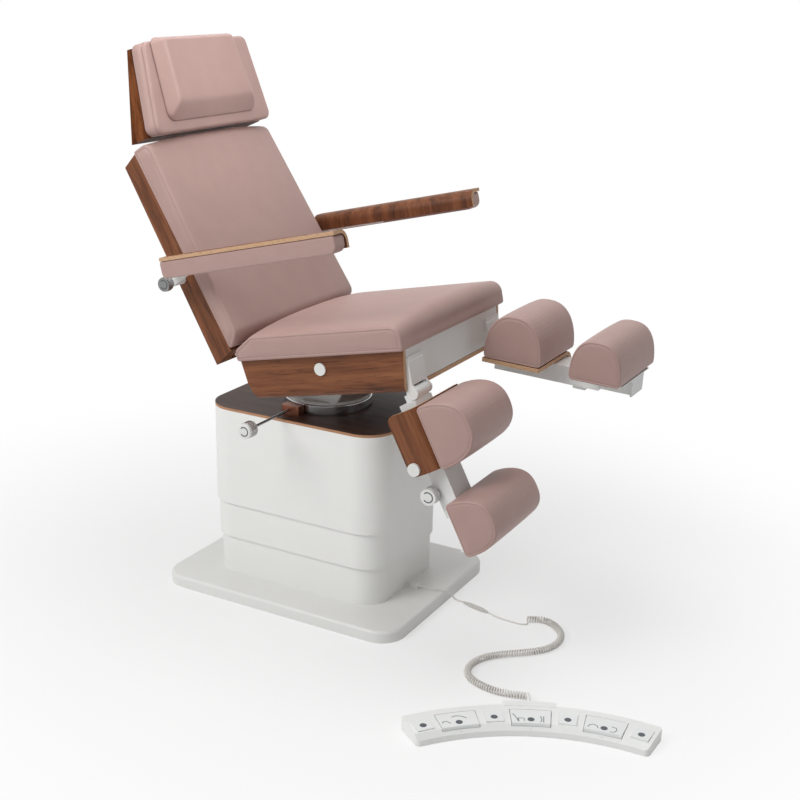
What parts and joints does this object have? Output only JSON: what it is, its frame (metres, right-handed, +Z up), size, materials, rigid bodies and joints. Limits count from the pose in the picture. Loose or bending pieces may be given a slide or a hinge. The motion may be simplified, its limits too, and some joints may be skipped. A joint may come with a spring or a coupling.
{
  "type": "podiatry chair",
  "caption": "Podiatry treatment chair with a telescoping base, swivel and tilting seat, reclining back, adjustable headrest, armrests, two split leg rests and a corded foot control.",
  "frame": {"origin": "on the floor under the middle of the base plate", "axes": "+X the way the sitter faces, +Y the sitter's left, +Z up"},
  "size_m": [1.733, 1.118, 1.5987],
  "materials": {
    "pale_grey_paint": "satin powder coat",
    "dark_board": "dark laminate with a light plywood edge",
    "black_steel": "matt black paint",
    "cast_alloy": "as cast",
    "polished_steel": "polished",
    "white_paint": "satin powder coat",
    "copper_metal": "brushed copper tone",
    "white_plastic": "semi-gloss",
    "dark_knob": "ribbed, with a metal face",
    "walnut": "satin lacquer over walnut veneer",
    "rose_leatherette": "soft grain, semi-matt",
    "control_plastic": "fine texture",
    "cord_sheath": "semi-matt"
  },
  "bodies": {
    "base": {"base_plate": "pale_grey_paint", "lower_cover": "pale_grey_paint", "column_outer": "black_steel", "lift_motor": "cast_alloy", "cable_entries": "white_plastic", "control_housing": "control_plastic", "lead_plate_side": "cord_sheath", "inline_connector": "white_plastic", "lead_control_side": "cord_sheath", "curly_cord": "cord_sheath"},
    "lift_middle": {"middle_cover": "pale_grey_paint", "column_middle": "black_steel"},
    "lift": {"upper_cover": "pale_grey_paint", "top_board": "dark_board", "column_inner": "black_steel", "swivel_ring": "polished_steel", "swivel_lock_block": "copper_metal"},
    "lock_knob": {"swivel_lock_knob": "white_plastic"},
    "swivel": {"turntable": "white_paint"},
    "seat": {"seat_shell": "walnut", "seat_frame": "white_paint", "leg_brackets": "white_paint", "seat_cushion": "rose_leatherette", "hinge_shafts": "polished_steel"},
    "back": {"back_shell": "walnut", "back_frame": "white_paint", "back_cushion": "rose_leatherette"},
    "head_slide": {"head_rods": "polished_steel"},
    "headrest": {"head_shell": "walnut", "head_cushion": "rose_leatherette", "head_pillow": "rose_leatherette"},
    "armrest_right": {"armrest_bracket_right": "white_paint", "armrest_shell_right": "walnut", "armrest_pad_right": "rose_leatherette"},
    "armrest_knob_right": {"armrest_knob_right": "dark_knob"},
    "armrest_left": {"armrest_bracket_left": "white_paint", "armrest_shell_left": "walnut", "armrest_pad_left": "rose_leatherette"},
    "armrest_knob_left": {"armrest_knob_left": "dark_knob"},
    "leg_right": {"leg_arm_right": "white_paint", "calf_cover_right": "walnut", "calf_pad_right": "rose_leatherette", "calf_cap_right": "white_plastic"},
    "foot_right": {"foot_slide_right": "white_paint", "foot_pad_right": "rose_leatherette"},
    "leg_knob_right": {"leg_knob_right": "white_plastic"},
    "leg_left": {"leg_arm_left": "white_paint", "calf_cover_left": "walnut", "calf_pad_left": "rose_leatherette", "calf_cap_left": "white_plastic"},
    "foot_left": {"foot_slide_left": "white_paint", "foot_pad_left": "rose_leatherette"},
    "leg_knob_left": {"leg_knob_left": "white_plastic"},
    "rocker_1": {"rocker_1": "control_plastic"},
    "rocker_2": {"rocker_2": "control_plastic"},
    "rocker_3": {"rocker_3": "control_plastic"},
    "button_1": {"button_1": "control_plastic"},
    "button_2": {"button_2": "control_plastic"},
    "button_3": {"button_3": "control_plastic"},
    "button_4": {"button_4": "control_plastic"}
  },
  "joints": [
    {"name": "lift", "type": "slide", "parent": "base", "child": "lift", "axis": [0, 0, 1], "range_m": [-0.22, 0.105]},
    {"name": "lift_middle", "type": "slide", "parent": "base", "child": "lift_middle", "axis": [0, 0, 1], "range_m": [-0.115, 0.055]},
    {"name": "swivel", "type": "hinge", "parent": "lift", "child": "swivel", "pos_m": [0, 0, 0.598], "axis": [0, 0, 1], "range_deg": [-90, 90]},
    {"name": "swivel_lock", "type": "hinge", "parent": "lift", "child": "lock_knob", "pos_m": [-0.027, -0.25, 0.586], "axis": [0, -1, 0], "range_deg": [0, 180]},
    {"name": "seat_tilt", "type": "hinge", "parent": "swivel", "child": "seat", "pos_m": [0.158, 0, 0.771], "axis": [0, 1, 0], "range_deg": [-6, 12]},
    {"name": "back_recline", "type": "hinge", "parent": "seat", "child": "back", "pos_m": [-0.10634, 0, 0.73526], "axis": [0, 1, 0], "range_deg": [-69.8, 3]},
    {"name": "head_height", "type": "slide", "parent": "back", "child": "head_slide", "axis": [-0.5314, 0, 0.8471], "range_m": [0, 0.12]},
    {"name": "head_tilt", "type": "hinge", "parent": "head_slide", "child": "headrest", "pos_m": [-0.51064, 0, 1.34204], "axis": [0, 1, 0], "range_deg": [-20, 4]},
    {"name": "armrest_right", "type": "hinge", "parent": "back", "child": "armrest_right", "pos_m": [-0.296, -0.33, 0.96413], "axis": [0, 1, 0], "range_deg": [-100, 0]},
    {"name": "armrest_knob_right", "type": "hinge", "parent": "armrest_right", "child": "armrest_knob_right", "pos_m": [-0.296, -0.33, 0.96413], "axis": [0, -1, 0], "range_deg": [0, 180]},
    {"name": "armrest_left", "type": "hinge", "parent": "back", "child": "armrest_left", "pos_m": [-0.296, 0.33, 0.96413], "axis": [0, 1, 0], "range_deg": [-100, 0]},
    {"name": "armrest_knob_left", "type": "hinge", "parent": "armrest_left", "child": "armrest_knob_left", "pos_m": [-0.296, 0.33, 0.96413], "axis": [0, 1, 0], "range_deg": [0, 180]},
    {"name": "leg_right", "type": "hinge", "parent": "seat", "child": "leg_right", "pos_m": [0.434, -0.24, 0.745], "axis": [0, 1, 0], "range_deg": [-74.3, 8]},
    {"name": "foot_right", "type": "slide", "parent": "leg_right", "child": "foot_right", "axis": [0.4641, 0, -0.8858], "range_m": [0, 0.1]},
    {"name": "leg_knob_right", "type": "hinge", "parent": "leg_right", "child": "leg_knob_right", "pos_m": [0.511, -0.3, 0.48166], "axis": [0, -1, 0], "range_deg": [0, 180]},
    {"name": "leg_left", "type": "hinge", "parent": "seat", "child": "leg_left", "pos_m": [0.434, 0.24, 0.745], "axis": [0, 1, 0], "range_deg": [-14.3, 68]},
    {"name": "foot_left", "type": "slide", "parent": "leg_left", "child": "foot_left", "axis": [0.9992, 0, -0.0401], "range_m": [0, 0.1]},
    {"name": "leg_knob_left", "type": "hinge", "parent": "leg_left", "child": "leg_knob_left", "pos_m": [0.70062, 0.3, 0.68025], "axis": [0, 1, 0], "range_deg": [0, 180]},
    {"name": "rocker_1", "type": "hinge", "parent": "base", "child": "rocker_1", "pos_m": [1.07877, -0.42692, 0.02], "axis": [-0.1668, 0.986, 0], "range_deg": [-3, 3], "stiffness_Nm_per_rad": 4},
    {"name": "rocker_2", "type": "hinge", "parent": "base", "child": "rocker_2", "pos_m": [0.90276, -0.48394, 0.02], "axis": [-0.4431, 0.8965, 0], "range_deg": [-3, 3], "stiffness_Nm_per_rad": 4},
    {"name": "rocker_3", "type": "hinge", "parent": "base", "child": "rocker_3", "pos_m": [0.75057, -0.58913, 0.02], "axis": [-0.682, 0.7314, 0], "range_deg": [-3, 3], "stiffness_Nm_per_rad": 4},
    {"name": "button_1", "type": "slide", "parent": "base", "child": "button_1", "axis": [0, 0, -1], "range_m": [0, 0.003], "stiffness_N_per_m": 800, "springref_m": -0.004},
    {"name": "button_2", "type": "slide", "parent": "base", "child": "button_2", "axis": [0, 0, -1], "range_m": [0, 0.003], "stiffness_N_per_m": 800, "springref_m": -0.004},
    {"name": "button_3", "type": "slide", "parent": "base", "child": "button_3", "axis": [0, 0, -1], "range_m": [0, 0.003], "stiffness_N_per_m": 800, "springref_m": -0.004},
    {"name": "button_4", "type": "slide", "parent": "base", "child": "button_4", "axis": [0, 0, -1], "range_m": [0, 0.003], "stiffness_N_per_m": 800, "springref_m": -0.004}
  ],
  "couplings": [
    {"joint": "lift_middle", "follows": "lift", "ratio": 0.5}
  ]
}
